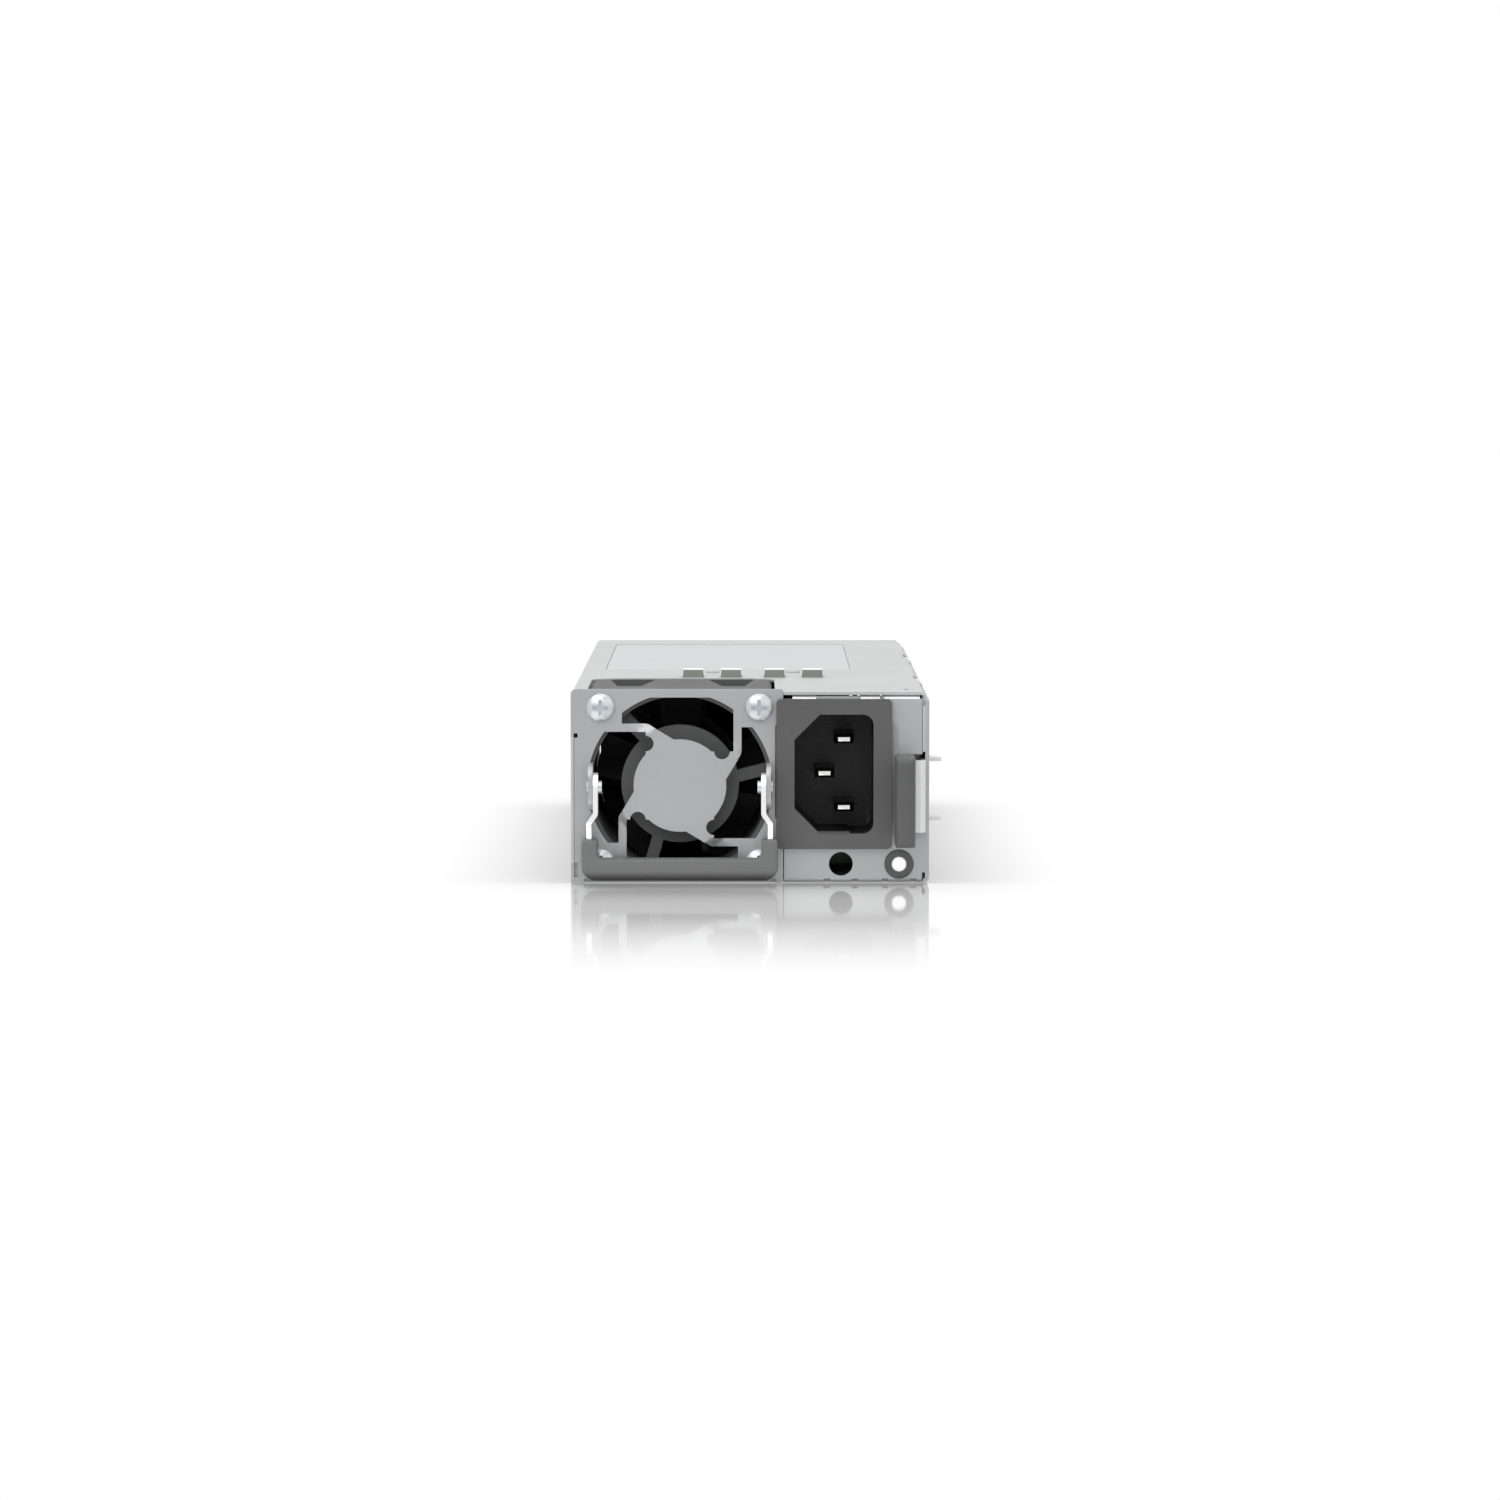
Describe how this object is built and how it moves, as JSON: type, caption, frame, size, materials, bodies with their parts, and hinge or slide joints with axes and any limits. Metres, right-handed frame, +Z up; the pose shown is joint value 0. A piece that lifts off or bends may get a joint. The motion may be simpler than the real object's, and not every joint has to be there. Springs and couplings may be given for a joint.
{
  "type": "hot swap server power supply",
  "caption": "Slim hot swap power supply with a sheet steel case, a guarded fan, an upright AC inlet, a swinging bail handle, a squeeze latch and a card edge output at the rear.",
  "frame": {"origin": "centre of the case's underside", "axes": "+X to the right as seen from the front, +Y the way the supply slides into its bay, +Z up"},
  "size_m": [0.0765, 0.2075, 0.041],
  "materials": {
    "sheet_steel": "satin zinc plated sheet",
    "panel_steel": "satin zinc plated sheet",
    "screw_steel": "bright zinc plated",
    "spring_steel": "satin stainless spring",
    "clip_alloy": "plain spring alloy",
    "black_plastic": "fine grained",
    "grey_plastic": "fine grained moulding",
    "pin_brass": "tin plated",
    "lens_plastic": "clear to milky",
    "board_laminate": "solder mask",
    "contact_gold": "gold plated",
    "ferrite": "sintered",
    "copper_winding": "enamelled wire",
    "coil_tape": "polyester tape",
    "can_sleeve": "shrink sleeve",
    "film_box": "moulded box",
    "relay_case": "moulded box",
    "sink_aluminium": "extruded",
    "package_epoxy": "moulded epoxy",
    "film_sheet": "insulating film",
    "label_film": "blank film",
    "motor_core": "laminated"
  },
  "bodies": {
    "chassis": {"chassis_tray": "sheet_steel", "top_cover": "sheet_steel", "cover_screw": "screw_steel", "fan_guard_panel": "panel_steel", "fan_screws": "screw_steel", "fan_housing": "black_plastic", "fan_stators": "motor_core", "ac_inlet_housing": "grey_plastic", "live_pin": "pin_brass", "neutral_pin": "pin_brass", "earth_pin": "pin_brass", "status_led_bezel": "grey_plastic", "status_light_pipe": "lens_plastic", "status_board": "board_laminate", "latch_root": "spring_steel", "latch_rivets": "screw_steel", "grounding_clip_left": "clip_alloy", "grounding_clip_right": "clip_alloy", "clip_rivets": "sheet_steel", "blank_label": "label_film", "main_board": "board_laminate", "board_standoffs": "screw_steel", "board_screws": "screw_steel", "insulation_sheet": "film_sheet", "output_contacts": "contact_gold", "filter_board": "board_laminate", "bulk_capacitors": "can_sleeve", "output_capacitors": "can_sleeve", "emi_choke_core": "ferrite", "emi_choke_windings": "copper_winding", "pfc_choke_core": "ferrite", "pfc_choke_coil": "copper_winding", "transformer_core": "ferrite", "transformer_coil": "coil_tape", "film_capacitors": "film_box", "inrush_relay": "relay_case", "fuse": "pin_brass", "primary_heat_sink": "sink_aluminium", "secondary_heat_sink": "sink_aluminium", "power_packages": "package_epoxy"},
    "handle": {"handle_arm_left": "spring_steel", "handle_arm_right": "spring_steel", "handle_grip": "grey_plastic", "handle_rivets": "screw_steel"},
    "latch": {"latch_leaf": "spring_steel", "latch_grip": "grey_plastic"},
    "fan_front": {"fan_front_rotor": "black_plastic"},
    "fan_rear": {"fan_rear_rotor": "black_plastic"}
  },
  "joints": [
    {"name": "handle_swing", "type": "hinge", "parent": "chassis", "child": "handle", "pos_m": [-0.01436, -0.0971, 0.02006], "axis": [-1, 0, 0], "range_deg": [0, 180]},
    {"name": "latch_press", "type": "hinge", "parent": "chassis", "child": "latch", "pos_m": [0.03595, -0.0305, 0.01798], "axis": [0, 0, -1], "range_deg": [0, 3.85], "stiffness_Nm_per_rad": 4},
    {"name": "fan_front_spin", "type": "hinge", "parent": "chassis", "child": "fan_front", "pos_m": [-0.01436, -0.0795, 0.02006], "axis": [0, 1, 0], "continuous": true},
    {"name": "fan_rear_spin", "type": "hinge", "parent": "chassis", "child": "fan_rear", "pos_m": [-0.01436, -0.0625, 0.02006], "axis": [0, -1, 0], "continuous": true}
  ]
}
